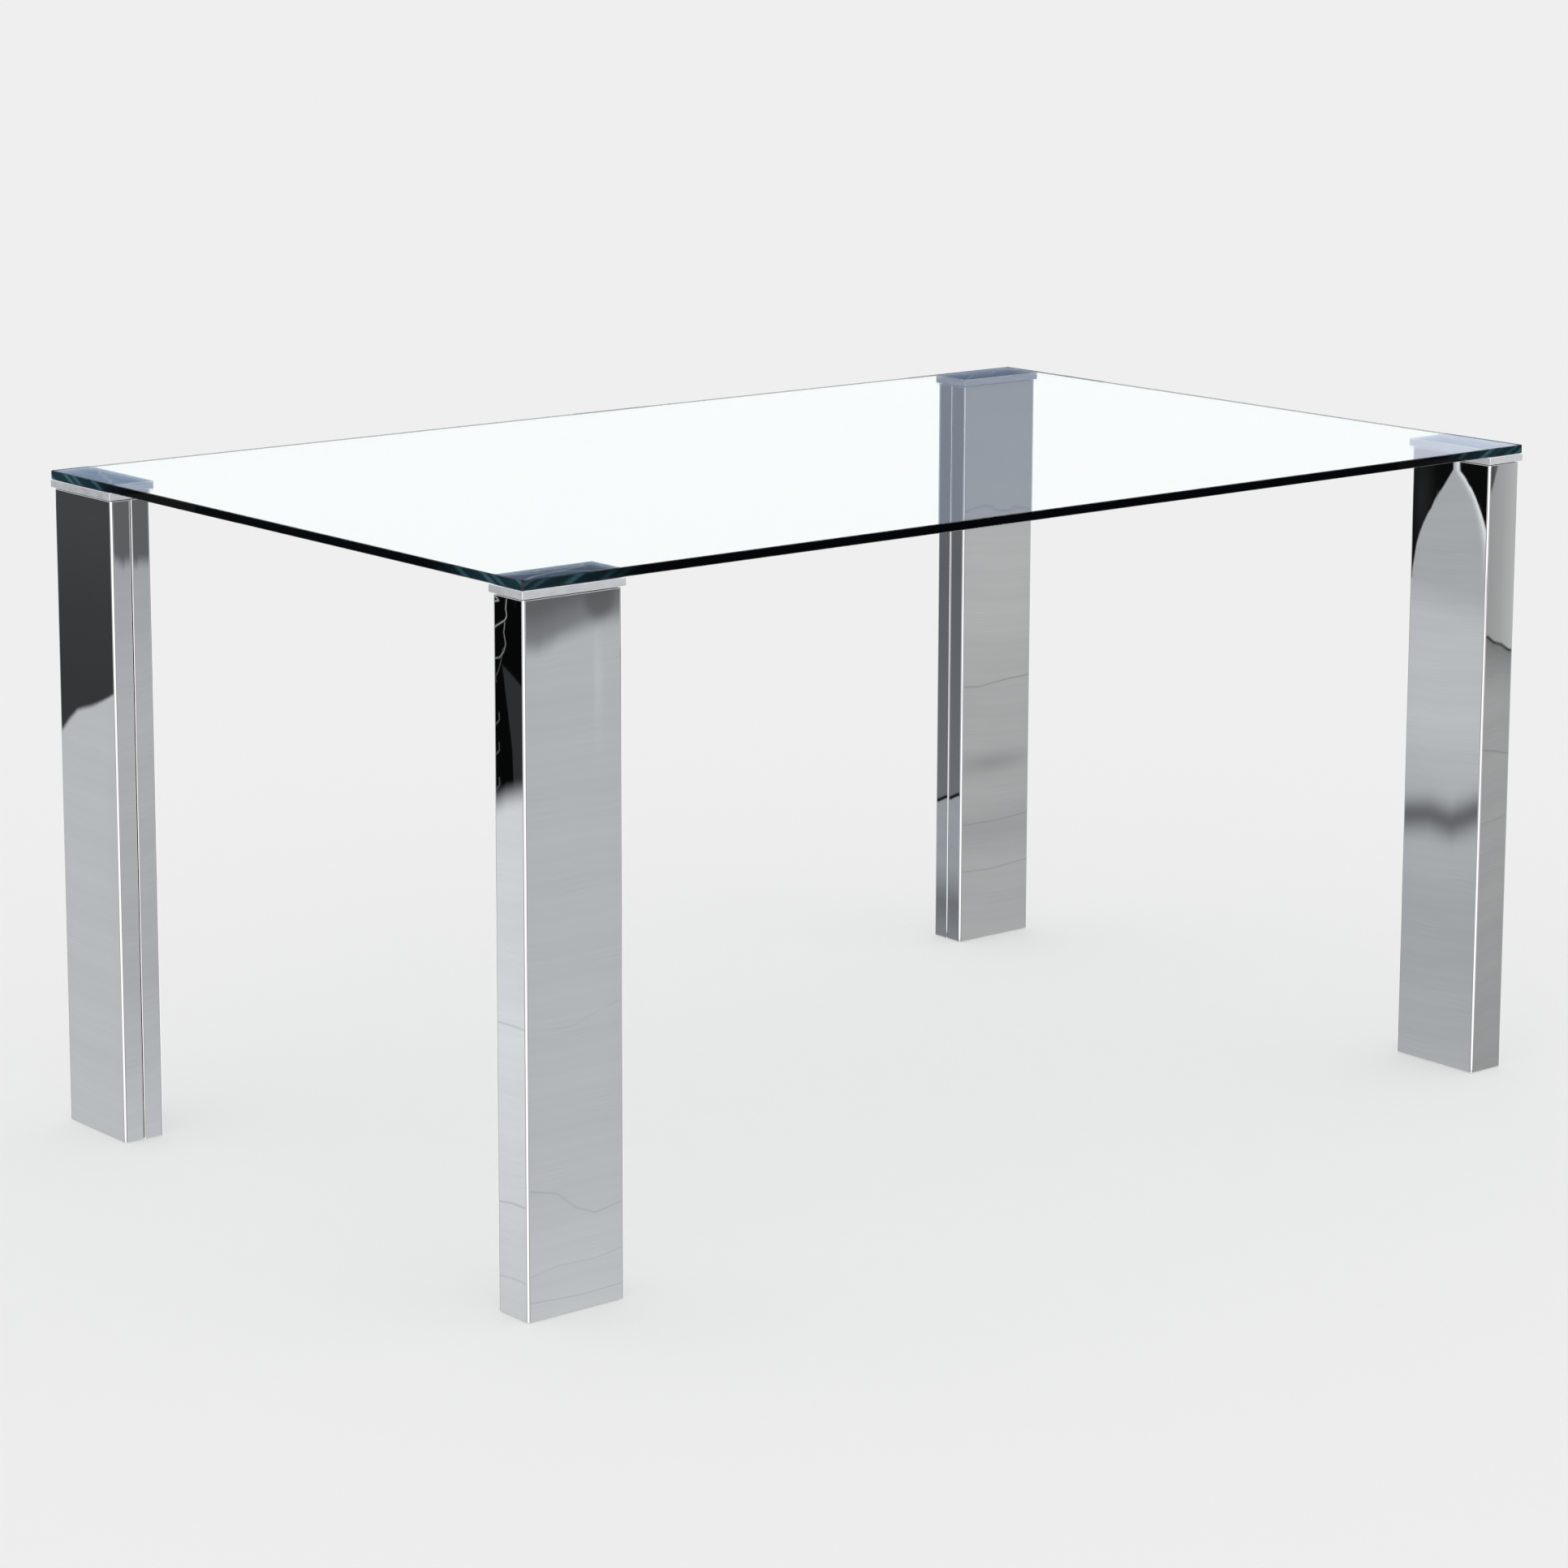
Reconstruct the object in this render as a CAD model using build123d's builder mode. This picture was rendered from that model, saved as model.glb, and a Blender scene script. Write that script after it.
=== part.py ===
"""Glass dining table: one fixed sheet of glass on four steel-clad legs.

Millimetres. +X runs along the long side, +Z is up, and the origin is on the floor under the middle of the glass.
"""

import os

from build123d import *

# Glass sheet
TABLE_LENGTH = 1440
TABLE_WIDTH = 890
TABLE_HEIGHT = 750
GLASS_THICKNESS = 10
GLASS_ARRIS = 0.8
GLASS_CORNER_CUT = 2.0

# Leg outline: U runs across the wide faces, V across the narrow ones
LEG_WIDE = 120
LEG_NARROW = 50
PLATE_OVERHANG = 3

# Stack between the glass and the floor
BOND_THICKNESS = 0.5
PLATE_THICKNESS = 8.5
PLATE_EDGE_BREAK = 0.4
GASKET_THICKNESS = 1.5
HEAD_PLATE_THICKNESS = 6
FOOT_GAP = 1
FOOT_BLOCK_RECESS = 2
FOOT_BLOCK_HEIGHT = 40

# Steel skin, bent round the core and tucked into a slot along the inner narrow face
SKIN = 0.8
BEND_RADIUS = 2.5
SEAM_GAP = 1.0
LIP_DEPTH = 9
LIP_RADIUS = 0.7
SLOT_WIDTH = 3.0
SLOT_DEPTH = 10
CORE_CORNER = 2.0

# Tie rod, M10
ROD_RADIUS = 5
ROD_BORE_RADIUS = 5.5
ROD_HOLE_DEPTH = 7.5
THREAD_CLEARANCE = 0.05
ROD_END_CHAMFER = 0.8
NUT_ACROSS_FLATS = 17
NUT_HEIGHT = 8
WASHER_RADIUS = 15
WASHER_THICKNESS = 2.5
WASHER_CLEARANCE = 0.5
NUT_POCKET_RADIUS = 16
NUT_POCKET_DEPTH = 25
ROD_TAIL = 2

# Locating pins between the head plate and the top plate
PIN_RADIUS = 3
PIN_SPACING = 90
PIN_DEPTH = 5
PIN_CLEARANCE = 0.05
PIN_CHAMFER = 0.5
GASKET_INSET = 3
GASKET_HOLE_RADIUS = 7
GASKET_PIN_HOLE_RADIUS = 4
BOND_INSET = 2

# Foot block and its screws
GLIDE_POCKET_RADIUS = 18
GLIDE_POCKET_DEPTH = 15
SIDE_POCKET_WIDE = 26
SIDE_POCKET_NARROW = 36
SIDE_POCKET_CORNER = 4
SIDE_POCKET_FLOOR = 6
SIDE_POCKET_SPACING = 72
STEM_HOLE_RADIUS = 6
SCREW_SPACING = 72
SCREW_RADIUS = 2.1
SCREW_PILOT_RADIUS = 2.15
SCREW_HEAD_RADIUS = 4.5
SCREW_HEAD_HEIGHT = 2.8
SCREW_LENGTH = 28
SCREW_TIP = 1.5

# Threaded bush for the levelling glide
BUSH_FLANGE_RADIUS = 10
BUSH_FLANGE_THICKNESS = 2
BUSH_FLANGE_CLEARANCE = 0.3
BUSH_ACROSS_FLATS = 13
BUSH_BODY_LENGTH = 18

# Levelling glide, M8 stem with a ball that sits in the pad
SOLE_RADIUS = 14
SOLE_THICKNESS = 2
SOLE_CHAMFER = 0.5
PAD_RADIUS = 15
PAD_HEIGHT = 8.5
PAD_EDGE_RADIUS = 2
BALL_RADIUS = 4
BALL_HEIGHT = 7.6
SOCKET_RADIUS = 4.3
NECK_RADIUS = 2.5
NECK_TOP = 12.5
COLLAR_ACROSS_FLATS = 13
COLLAR_STOP_GAP = 0.3
STEM_RADIUS = 4
STEM_TOP = 52
STEM_CHAMFER = 0.8

# Levels above the floor, worked out from the stack
GLASS_BOTTOM = TABLE_HEIGHT - GLASS_THICKNESS
PLATE_TOP = GLASS_BOTTOM - BOND_THICKNESS
PLATE_BOTTOM = PLATE_TOP - PLATE_THICKNESS
LEG_TOP = PLATE_BOTTOM - GASKET_THICKNESS
CORE_TOP = LEG_TOP - HEAD_PLATE_THICKNESS
FOOT_BLOCK_BOTTOM = FOOT_GAP + FOOT_BLOCK_RECESS
CORE_BOTTOM = FOOT_BLOCK_BOTTOM + FOOT_BLOCK_HEIGHT
BUSH_BOTTOM = FOOT_BLOCK_BOTTOM + GLIDE_POCKET_DEPTH
BUSH_HEX_BOTTOM = BUSH_BOTTOM + BUSH_FLANGE_THICKNESS
SIDE_POCKET_TOP = CORE_BOTTOM - SIDE_POCKET_FLOOR
WASHER_BOTTOM = CORE_BOTTOM + NUT_POCKET_DEPTH - WASHER_THICKNESS
NUT_BOTTOM = WASHER_BOTTOM - NUT_HEIGHT
ROD_BOTTOM = NUT_BOTTOM - ROD_TAIL
ROD_TOP = PLATE_BOTTOM + ROD_HOLE_DEPTH
PIN_TOP = PLATE_BOTTOM + PIN_DEPTH
CORE_WIDE = LEG_WIDE - 2 * SKIN
CORE_NARROW = LEG_NARROW - 2 * SKIN
SCREW_PLACES = [-SCREW_SPACING / 2, SCREW_SPACING / 2]
SIDE_POCKET_PLACES = [-SIDE_POCKET_SPACING / 2, SIDE_POCKET_SPACING / 2]
PIN_PLACES = [-PIN_SPACING / 2, PIN_SPACING / 2]


def leg_planes():
    """A floor plane under each leg, its X axis across the leg's wide faces and pointing at the seam.

    The legs follow each other round the glass like the arms of a pinwheel, each a quarter turn on from the last.
    """
    wide_inset = PLATE_OVERHANG + LEG_WIDE / 2
    narrow_inset = PLATE_OVERHANG + LEG_NARROW / 2
    near_x = TABLE_LENGTH / 2 - wide_inset
    far_x = TABLE_LENGTH / 2 - narrow_inset
    near_y = TABLE_WIDTH / 2 - narrow_inset
    far_y = TABLE_WIDTH / 2 - wide_inset
    return {
        "fl": Plane(origin=(-near_x, -near_y, 0), x_dir=(1, 0, 0), z_dir=(0, 0, 1)),
        "fr": Plane(origin=(far_x, -far_y, 0), x_dir=(0, 1, 0), z_dir=(0, 0, 1)),
        "br": Plane(origin=(near_x, near_y, 0), x_dir=(-1, 0, 0), z_dir=(0, 0, 1)),
        "bl": Plane(origin=(-far_x, far_y, 0), x_dir=(0, -1, 0), z_dir=(0, 0, 1)),
    }


def near_seam(plane, edge):
    """True for the upright edges where the skin turns in at the seam."""
    place = plane.to_local_coords(edge.center())
    return abs(place.X - LEG_WIDE / 2) < SKIN / 2 and abs(place.Y) < SEAM_GAP


def save(part, name):
    """Labels a finished piece and writes its STEP file."""
    part.label = name
    export_step(part, f"parts/{name}.step")


def core_outline():
    """Adds the section inside the skin to the open sketch, with the slot that takes the two lips."""
    RectangleRounded(CORE_WIDE, CORE_NARROW, CORE_CORNER)
    with Locations((CORE_WIDE / 2 - SLOT_DEPTH / 2, 0)):
        Rectangle(SLOT_DEPTH, SLOT_WIDTH, mode=Mode.SUBTRACT)


def make_glass_top():
    with BuildPart() as glass_top:
        with BuildSketch(Plane.XY.offset(GLASS_BOTTOM)):
            Rectangle(TABLE_LENGTH, TABLE_WIDTH)
        extrude(amount=GLASS_THICKNESS)
        chamfer(glass_top.edges().filter_by(Axis.Z), GLASS_CORNER_CUT)
        top_edges = glass_top.faces().sort_by(Axis.Z)[-1].edges()
        bottom_edges = glass_top.faces().sort_by(Axis.Z)[0].edges()
        chamfer(top_edges + bottom_edges, GLASS_ARRIS)
    save(glass_top.part, "glass_top")


def make_bond_pad(plane, side):
    with BuildPart() as bond_pad:
        with BuildSketch(plane.offset(PLATE_TOP)):
            Rectangle(
                LEG_WIDE + 2 * (PLATE_OVERHANG - BOND_INSET),
                LEG_NARROW + 2 * (PLATE_OVERHANG - BOND_INSET),
            )
        extrude(amount=BOND_THICKNESS)
    save(bond_pad.part, f"bond_pad_{side}")


def make_top_plate(plane, side):
    with BuildPart() as top_plate:
        with BuildSketch(plane.offset(PLATE_BOTTOM)):
            Rectangle(LEG_WIDE + 2 * PLATE_OVERHANG, LEG_NARROW + 2 * PLATE_OVERHANG)
        extrude(amount=PLATE_THICKNESS)
        chamfer(top_plate.edges(), PLATE_EDGE_BREAK)
        with BuildSketch(plane.offset(PLATE_BOTTOM)):
            Circle(ROD_RADIUS + THREAD_CLEARANCE)
        extrude(amount=ROD_HOLE_DEPTH, mode=Mode.SUBTRACT)
        with BuildSketch(plane.offset(PLATE_BOTTOM)):
            with Locations(*[(u, 0) for u in PIN_PLACES]):
                Circle(PIN_RADIUS + PIN_CLEARANCE)
        extrude(amount=PIN_DEPTH, mode=Mode.SUBTRACT)
    save(top_plate.part, f"top_plate_{side}")


def make_leg_gasket(plane, side):
    with BuildPart() as leg_gasket:
        with BuildSketch(plane.offset(LEG_TOP)):
            Rectangle(LEG_WIDE - 2 * GASKET_INSET, LEG_NARROW - 2 * GASKET_INSET)
            Circle(GASKET_HOLE_RADIUS, mode=Mode.SUBTRACT)
            with Locations(*[(u, 0) for u in PIN_PLACES]):
                Circle(GASKET_PIN_HOLE_RADIUS, mode=Mode.SUBTRACT)
        extrude(amount=GASKET_THICKNESS)
    save(leg_gasket.part, f"leg_gasket_{side}")


def make_head_plate(plane, side):
    with BuildPart() as head_plate:
        with BuildSketch(plane.offset(CORE_TOP)):
            core_outline()
            Circle(ROD_BORE_RADIUS, mode=Mode.SUBTRACT)
            with Locations(*[(u, 0) for u in PIN_PLACES]):
                Circle(PIN_RADIUS + PIN_CLEARANCE, mode=Mode.SUBTRACT)
        extrude(amount=HEAD_PLATE_THICKNESS)
    save(head_plate.part, f"head_plate_{side}")


def make_leg_shell(plane, side):
    """The skin: one sheet bent round the core, with its two edges turned in beside the seam."""
    with BuildPart() as leg_shell:
        with BuildSketch(plane.offset(FOOT_GAP)):
            RectangleRounded(LEG_WIDE, LEG_NARROW, BEND_RADIUS)
            RectangleRounded(CORE_WIDE, CORE_NARROW, BEND_RADIUS - SKIN, mode=Mode.SUBTRACT)
            with Locations((LEG_WIDE / 2 - LIP_DEPTH / 2, 0)):
                Rectangle(LIP_DEPTH, SEAM_GAP + 2 * SKIN)
                Rectangle(LIP_DEPTH, SEAM_GAP, mode=Mode.SUBTRACT)
        extrude(amount=LEG_TOP - FOOT_GAP)
        upright = leg_shell.edges().filter_by(Axis.Z)
        fillet(upright.filter_by(lambda edge: near_seam(plane, edge)), LIP_RADIUS)
    save(leg_shell.part, f"leg_shell_{side}")


def make_leg_core(plane, side):
    with BuildPart() as leg_core:
        with BuildSketch(plane.offset(CORE_BOTTOM)):
            core_outline()
            Circle(ROD_BORE_RADIUS, mode=Mode.SUBTRACT)
        extrude(amount=CORE_TOP - CORE_BOTTOM)
        with BuildSketch(plane.offset(CORE_BOTTOM)):
            Circle(NUT_POCKET_RADIUS)
        extrude(amount=NUT_POCKET_DEPTH, mode=Mode.SUBTRACT)
        with BuildSketch(plane.offset(CORE_BOTTOM)):
            with Locations(*[(u, 0) for u in SCREW_PLACES]):
                Circle(SCREW_PILOT_RADIUS)
        extrude(amount=SCREW_LENGTH - SIDE_POCKET_FLOOR, mode=Mode.SUBTRACT)
    save(leg_core.part, f"leg_core_{side}")


def make_foot_block(plane, side):
    """A moulded plug with a round pocket for the glide and a cored-out pocket for each screw."""
    with BuildPart() as foot_block:
        with BuildSketch(plane.offset(FOOT_BLOCK_BOTTOM)):
            core_outline()
            Circle(GLIDE_POCKET_RADIUS, mode=Mode.SUBTRACT)
        extrude(amount=GLIDE_POCKET_DEPTH)
        with BuildSketch(plane.offset(BUSH_BOTTOM)):
            core_outline()
            Circle(BUSH_FLANGE_RADIUS + BUSH_FLANGE_CLEARANCE, mode=Mode.SUBTRACT)
        extrude(amount=BUSH_FLANGE_THICKNESS)
        with BuildSketch(plane.offset(BUSH_HEX_BOTTOM)):
            core_outline()
            RegularPolygon(BUSH_ACROSS_FLATS / 2, 6, major_radius=False, mode=Mode.SUBTRACT)
        extrude(amount=BUSH_BODY_LENGTH)
        with BuildSketch(plane.offset(BUSH_HEX_BOTTOM + BUSH_BODY_LENGTH)):
            core_outline()
            Circle(STEM_HOLE_RADIUS, mode=Mode.SUBTRACT)
        extrude(amount=CORE_BOTTOM - BUSH_HEX_BOTTOM - BUSH_BODY_LENGTH)
        with BuildSketch(plane.offset(FOOT_BLOCK_BOTTOM)):
            with Locations(*[(u, 0) for u in SIDE_POCKET_PLACES]):
                RectangleRounded(SIDE_POCKET_WIDE, SIDE_POCKET_NARROW, SIDE_POCKET_CORNER)
        extrude(amount=SIDE_POCKET_TOP - FOOT_BLOCK_BOTTOM, mode=Mode.SUBTRACT)
        with BuildSketch(plane.offset(SIDE_POCKET_TOP)):
            with Locations(*[(u, 0) for u in SCREW_PLACES]):
                Circle(SCREW_PILOT_RADIUS)
        extrude(amount=SIDE_POCKET_FLOOR, mode=Mode.SUBTRACT)
    save(foot_block.part, f"foot_block_{side}")


def make_foot_bush(plane, side):
    with BuildPart() as foot_bush:
        with BuildSketch(plane.offset(BUSH_BOTTOM)):
            Circle(BUSH_FLANGE_RADIUS)
        extrude(amount=BUSH_FLANGE_THICKNESS)
        with BuildSketch(plane.offset(BUSH_HEX_BOTTOM)):
            RegularPolygon(BUSH_ACROSS_FLATS / 2, 6, major_radius=False)
        extrude(amount=BUSH_BODY_LENGTH)
        with BuildSketch(plane.offset(BUSH_BOTTOM)):
            Circle(STEM_RADIUS + THREAD_CLEARANCE)
        extrude(amount=BUSH_FLANGE_THICKNESS + BUSH_BODY_LENGTH, mode=Mode.SUBTRACT)
    save(foot_bush.part, f"foot_bush_{side}")


def make_glide_stem(plane, side):
    """Ball, neck, spanner collar and threaded stem in one piece."""
    collar_top = BUSH_BOTTOM - COLLAR_STOP_GAP
    with BuildPart() as glide_stem:
        with BuildSketch(plane.offset(NECK_TOP)):
            RegularPolygon(COLLAR_ACROSS_FLATS / 2, 6, major_radius=False)
        extrude(amount=collar_top - NECK_TOP)
        with BuildSketch(plane.offset(collar_top)):
            Circle(STEM_RADIUS)
        extrude(amount=STEM_TOP - collar_top)
        chamfer(glide_stem.faces().sort_by(Axis.Z)[-1].edges(), STEM_CHAMFER)
        with BuildSketch(plane.offset(BALL_HEIGHT)):
            Circle(NECK_RADIUS)
        extrude(amount=NECK_TOP - BALL_HEIGHT)
        with Locations(plane.offset(BALL_HEIGHT)):
            Sphere(BALL_RADIUS)
    save(glide_stem.part, f"glide_stem_{side}")


def make_glide_pad(plane, side):
    with BuildPart() as glide_pad:
        with BuildSketch(plane.offset(SOLE_THICKNESS)):
            Circle(PAD_RADIUS)
        extrude(amount=PAD_HEIGHT)
        fillet(glide_pad.faces().sort_by(Axis.Z)[-1].edges(), PAD_EDGE_RADIUS)
        with Locations(plane.offset(BALL_HEIGHT)):
            Sphere(SOCKET_RADIUS, mode=Mode.SUBTRACT)
    save(glide_pad.part, f"glide_pad_{side}")


def make_glide_sole(plane, side):
    with BuildPart() as glide_sole:
        with BuildSketch(plane):
            Circle(SOLE_RADIUS)
        extrude(amount=SOLE_THICKNESS)
        chamfer(glide_sole.faces().sort_by(Axis.Z)[0].edges(), SOLE_CHAMFER)
    save(glide_sole.part, f"glide_sole_{side}")


def make_tie_rods(planes):
    with BuildPart() as tie_rods:
        for plane in planes:
            with BuildSketch(plane.offset(ROD_BOTTOM)):
                Circle(ROD_RADIUS)
            extrude(amount=ROD_TOP - ROD_BOTTOM)
        ends = tie_rods.edges().filter_by(GeomType.CIRCLE)
        chamfer(ends, ROD_END_CHAMFER)
    save(tie_rods.part, "tie_rods")


def make_rod_nuts(planes):
    with BuildPart() as rod_nuts:
        for plane in planes:
            with BuildSketch(plane.offset(NUT_BOTTOM)):
                RegularPolygon(NUT_ACROSS_FLATS / 2, 6, major_radius=False)
                Circle(ROD_RADIUS + THREAD_CLEARANCE, mode=Mode.SUBTRACT)
            extrude(amount=NUT_HEIGHT)
    save(rod_nuts.part, "rod_nuts")


def make_rod_washers(planes):
    with BuildPart() as rod_washers:
        for plane in planes:
            with BuildSketch(plane.offset(WASHER_BOTTOM)):
                Circle(WASHER_RADIUS)
                Circle(ROD_RADIUS + WASHER_CLEARANCE, mode=Mode.SUBTRACT)
            extrude(amount=WASHER_THICKNESS)
    save(rod_washers.part, "rod_washers")


def make_locating_pins(planes):
    with BuildPart() as locating_pins:
        for plane in planes:
            with BuildSketch(plane.offset(CORE_TOP)):
                with Locations(*[(u, 0) for u in PIN_PLACES]):
                    Circle(PIN_RADIUS)
            extrude(amount=PIN_TOP - CORE_TOP)
        chamfer(locating_pins.edges().filter_by(GeomType.CIRCLE), PIN_CHAMFER)
    save(locating_pins.part, "locating_pins")


def make_foot_screws(planes):
    """Pan-head wood screws, seen from below in the foot block's side pockets."""
    with BuildPart() as foot_screws:
        for plane in planes:
            with BuildSketch(plane.offset(SIDE_POCKET_TOP - SCREW_HEAD_HEIGHT)):
                with Locations(*[(u, 0) for u in SCREW_PLACES]):
                    Circle(SCREW_HEAD_RADIUS)
            extrude(amount=SCREW_HEAD_HEIGHT)
            with BuildSketch(plane.offset(SIDE_POCKET_TOP)):
                with Locations(*[(u, 0) for u in SCREW_PLACES]):
                    Circle(SCREW_RADIUS)
            extrude(amount=SCREW_LENGTH)
        tips = foot_screws.edges().group_by(Axis.Z)[-1]
        chamfer(tips, SCREW_TIP)
    save(foot_screws.part, "foot_screws")


os.makedirs("parts", exist_ok=True)
make_glass_top()
for side, plane in leg_planes().items():
    make_bond_pad(plane, side)
    make_top_plate(plane, side)
    make_leg_gasket(plane, side)
    make_head_plate(plane, side)
    make_leg_shell(plane, side)
    make_leg_core(plane, side)
    make_foot_block(plane, side)
    make_foot_bush(plane, side)
    make_glide_stem(plane, side)
    make_glide_pad(plane, side)
    make_glide_sole(plane, side)
legs = list(leg_planes().values())
make_tie_rods(legs)
make_rod_nuts(legs)
make_rod_washers(legs)
make_locating_pins(legs)
make_foot_screws(legs)
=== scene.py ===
"""Glass dining table on four mirror-finish steel legs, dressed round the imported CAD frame. Metres."""

import math

import bmesh
import bpy
import numpy as np
from mathutils import Matrix, Vector, noise


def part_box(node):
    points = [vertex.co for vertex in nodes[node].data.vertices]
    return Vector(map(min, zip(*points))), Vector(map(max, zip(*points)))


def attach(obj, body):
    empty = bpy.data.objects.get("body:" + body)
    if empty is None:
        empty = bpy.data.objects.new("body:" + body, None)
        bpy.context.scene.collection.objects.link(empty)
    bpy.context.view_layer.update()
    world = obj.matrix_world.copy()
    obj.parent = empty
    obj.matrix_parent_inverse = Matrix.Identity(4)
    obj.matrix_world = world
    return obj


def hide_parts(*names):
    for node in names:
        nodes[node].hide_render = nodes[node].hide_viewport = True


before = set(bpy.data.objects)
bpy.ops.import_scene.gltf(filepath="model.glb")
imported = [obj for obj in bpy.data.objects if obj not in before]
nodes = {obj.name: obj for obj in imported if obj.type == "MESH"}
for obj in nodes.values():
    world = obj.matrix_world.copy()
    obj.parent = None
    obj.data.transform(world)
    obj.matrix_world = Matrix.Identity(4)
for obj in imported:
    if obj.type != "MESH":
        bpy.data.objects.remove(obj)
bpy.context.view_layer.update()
scene = bpy.context.scene
scene.view_settings.view_transform = "Standard"

# Each leg stands a quarter turn on from the last: front left, front right, back right, back left.
SIDES = ("fl", "fr", "br", "bl")
MM = 0.001


# ---------------------------------------------------------------- camera

CAMERA_PLACE = Vector((-3.2066, -3.8612, 1.5093))
CAMERA_HEADING = 0.68881
CAMERA_DIP = 0.17324
CAMERA_ROLL = 0.00299
SENSOR = 36.0
LENS = 102.3
RISE = -0.1429
CLIP_END = 300


def add_camera():
    """A long lens in front of the front left corner and above it, with its frame shifted down."""
    data = bpy.data.cameras.new("camera")
    data.sensor_width = SENSOR
    data.lens = LENS
    data.shift_y = RISE
    data.clip_end = CLIP_END
    camera = bpy.data.objects.new("camera", data)
    level = Matrix.Rotation(-CAMERA_HEADING, 4, "Z") @ Matrix.Rotation(math.pi / 2 - CAMERA_DIP, 4, "X")
    camera.matrix_world = Matrix.Translation(CAMERA_PLACE) @ level @ Matrix.Rotation(CAMERA_ROLL, 4, "Z")
    scene.collection.objects.link(camera)
    scene.camera = camera


# ---------------------------------------------------------------- helpers

class Shader:
    """A new material, with one call for each of its nodes."""

    def __init__(self, name):
        self.material = bpy.data.materials.new(name)
        self.material.use_nodes = True
        self.tree = self.material.node_tree
        self.tree.nodes.clear()
        self.output = self.tree.nodes.new("ShaderNodeOutputMaterial")

    def node(self, kind, inputs=None, **settings):
        """A node. An input is linked where it is given a socket, and set where it is given a value."""
        made = self.tree.nodes.new("ShaderNode" + kind)
        for name, value in settings.items():
            setattr(made, name, value)
        for name, value in (inputs or {}).items():
            if isinstance(value, bpy.types.NodeSocket):
                self.tree.links.new(value, made.inputs[name])
            else:
                made.inputs[name].default_value = value
        return made

    def place(self, scale=(1, 1, 1)):
        """Object coordinates in metres, stretched by a scale along each axis."""
        coords = self.node("TexCoord").outputs["Object"]
        return self.node("Mapping", {"Vector": coords, "Scale": scale}).outputs["Vector"]

    def noise(self, scale, detail=3.0, stretch=(1, 1, 1), distortion=0.0):
        """Noise with so many waves a metre."""
        inputs = {"Vector": self.place(stretch), "Scale": scale, "Detail": detail, "Distortion": distortion}
        return self.node("TexNoise", inputs).outputs["Fac"]

    def remap(self, value, low, high, to_low, to_high):
        """value taken from one range to another, and held inside it."""
        inputs = {"Value": value, "From Min": low, "From Max": high, "To Min": to_low, "To Max": to_high}
        return self.node("MapRange", inputs).outputs["Result"]

    def maths(self, operation, a, b):
        return self.node("Math", {0: a, 1: b}, operation=operation).outputs[0]

    def ramp(self, value, stops):
        """A colour ramp through (position, colour) stops."""
        made = self.node("ValToRGB", {"Fac": value})
        elements = made.color_ramp.elements
        while len(elements) < len(stops):
            elements.new(0.5)
        for element, (position, colour) in zip(elements, stops):
            element.position = position
            element.color = (*colour, 1)
        return made.outputs["Color"]

    def bump(self, height, distance, strength=1.0):
        """A normal from a height in shares of a distance in metres."""
        inputs = {"Height": height, "Distance": distance, "Strength": strength}
        return self.node("Bump", inputs).outputs["Normal"]

    def surface(self, shader):
        self.tree.links.new(shader.outputs[0], self.output.inputs["Surface"])
        return self.material


def grey(value):
    return (value, value, value)


def new_object(name, mesh):
    made = bpy.data.objects.new(name, mesh)
    scene.collection.objects.link(made)
    return made


# ---------------------------------------------------------------- studio

BACKGROUND = 0.863
STUDIO_GLOW = (1.06, 1.10, 1.09)
FLOOR_GLEAM = 1.06
FLOOR_FILL = 0.5
FLOOR_RADIUS = 60
FLOOR_SIDES = 96


def add_world():
    """An even white surround, which the camera sees in the floor's own tone."""
    world = bpy.data.worlds.new("studio")
    scene.world = world
    world.use_nodes = True
    tree = world.node_tree
    tree.nodes.clear()

    def background(colour):
        made = tree.nodes.new("ShaderNodeBackground")
        made.inputs["Color"].default_value = (*colour, 1)
        return made.outputs[0]

    def choose(ray, otherwise, chosen):
        made = tree.nodes.new("ShaderNodeMixShader")
        tree.links.new(path.outputs[ray], made.inputs[0])
        tree.links.new(otherwise, made.inputs[1])
        tree.links.new(chosen, made.inputs[2])
        return made.outputs[0]

    path = tree.nodes.new("ShaderNodeLightPath")
    lit = choose("Is Glossy Ray", background(grey(1.0)), background(STUDIO_GLOW))
    seen = choose("Is Camera Ray", lit, background(grey(BACKGROUND)))
    output = tree.nodes.new("ShaderNodeOutputWorld")
    tree.links.new(seen, output.inputs["Surface"])


def add_floor():
    """A pale sweep with soft shadows, brighter in the steel, and open from below to show the feet."""
    mesh = bpy.data.meshes.new("floor")
    shape = bmesh.new()
    bmesh.ops.create_circle(shape, cap_ends=True, segments=FLOOR_SIDES, radius=FLOOR_RADIUS)
    shape.to_mesh(mesh)
    shape.free()
    paper = Shader("floor_paper")
    facing = paper.node("NewGeometry").outputs["Backfacing"]
    matt = paper.node("BsdfDiffuse", {"Color": (*grey(BACKGROUND), 1)})
    even = paper.node("Emission", {"Color": (*grey(BACKGROUND), 1)})
    gleam = paper.node("Emission", {"Color": (*grey(FLOOR_GLEAM), 1)})
    gone = paper.node("BsdfTransparent")
    rays = paper.node("LightPath").outputs
    soft = paper.node("MixShader", {0: FLOOR_FILL, 1: matt.outputs[0], 2: even.outputs[0]})
    mirrored = paper.maths("MULTIPLY", rays["Is Glossy Ray"], rays["Is Reflection Ray"])
    above = paper.node("MixShader", {0: mirrored, 1: soft.outputs[0], 2: gleam.outputs[0]})
    sweep = paper.surface(paper.node("MixShader", {0: facing, 1: above.outputs[0], 2: gone.outputs[0]}))
    sweep.cycles.emission_sampling = "NONE"
    mesh.materials.append(sweep)
    new_object("floor", mesh)


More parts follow.
